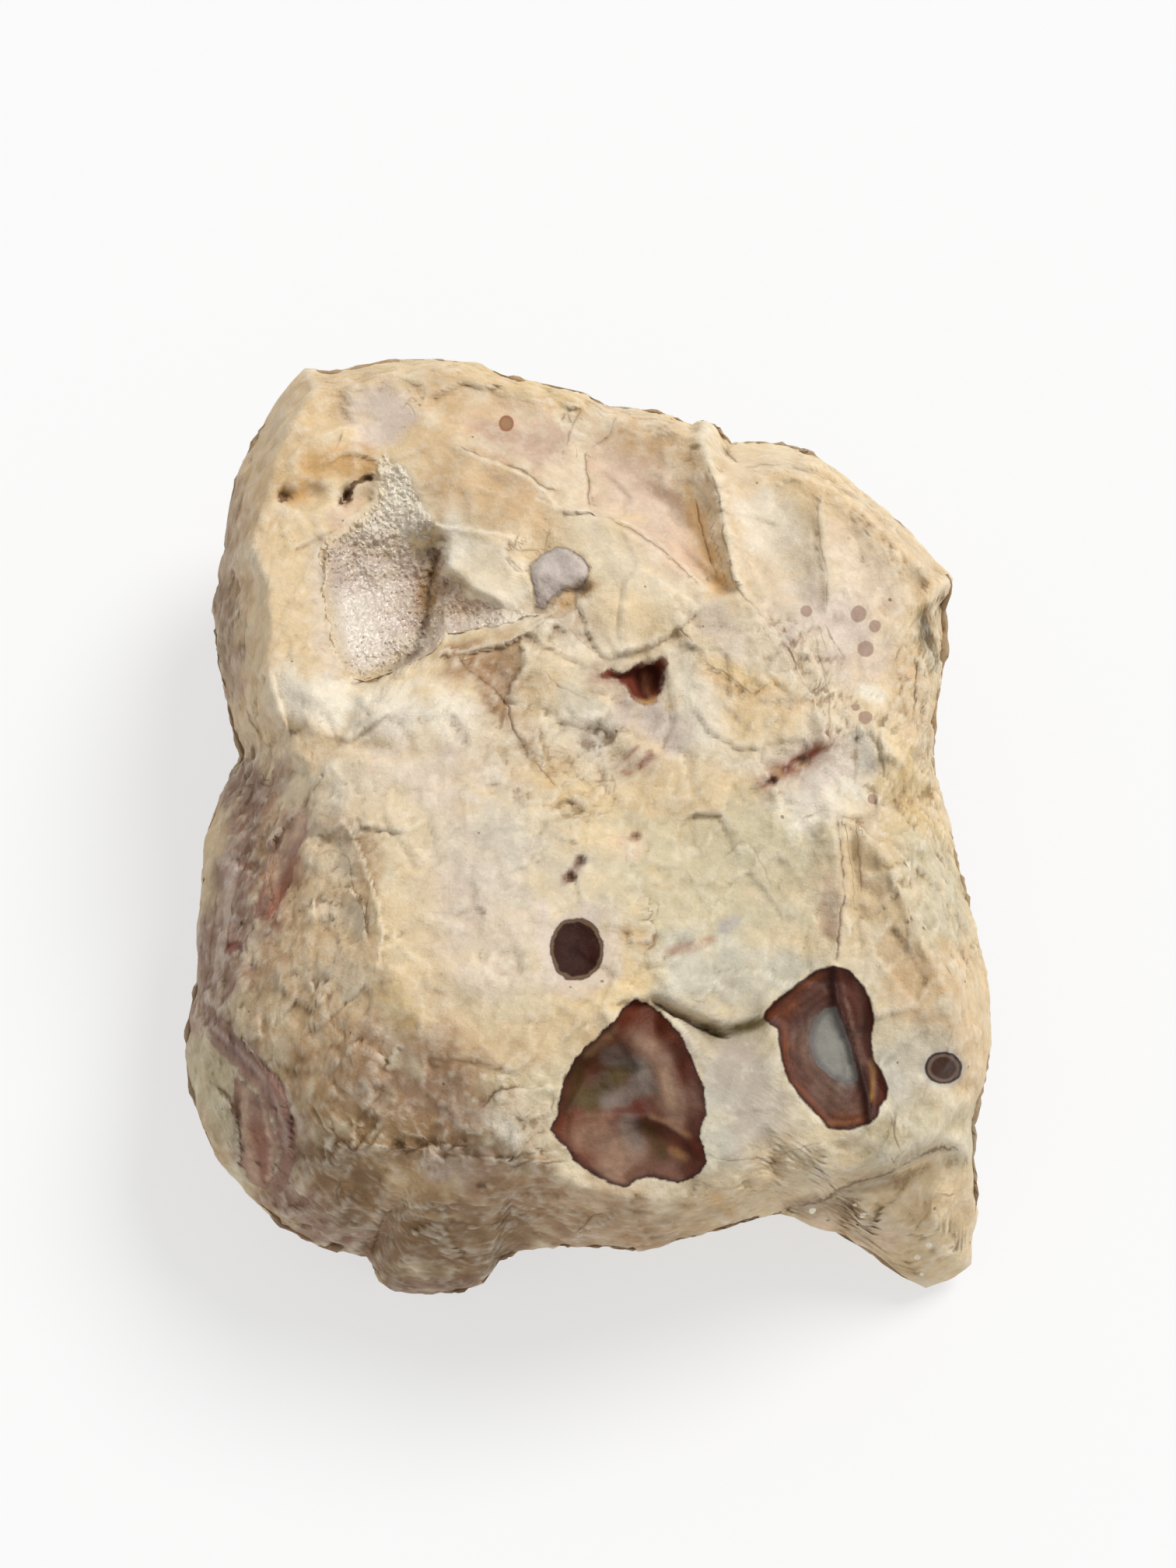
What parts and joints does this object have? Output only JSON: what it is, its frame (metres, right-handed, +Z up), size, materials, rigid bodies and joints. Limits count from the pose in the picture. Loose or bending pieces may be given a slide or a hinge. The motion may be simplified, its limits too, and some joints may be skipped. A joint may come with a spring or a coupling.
{
  "type": "rough ocean jasper specimen",
  "caption": "Rough block of orbicular jasper with fractured faces, dark banded agate nodules and a sugary quartz hollow, resting on a small flat spot.",
  "frame": {"origin": "on the table, in the middle of the stone's box seen from above", "axes": "+Z up from the flat resting spot to the broken face, +Y along the stone's length towards its taller back edge, +X to the right as seen from the front"},
  "size_m": [0.1047, 0.1277, 0.0462],
  "materials": {
    "jasper": "broken, satin, with glossy agate nodules",
    "druse": "sparkling fine crystals"
  },
  "bodies": {
    "root": {"stone": "jasper", "druse_crust": "druse"}
  },
  "joints": []
}
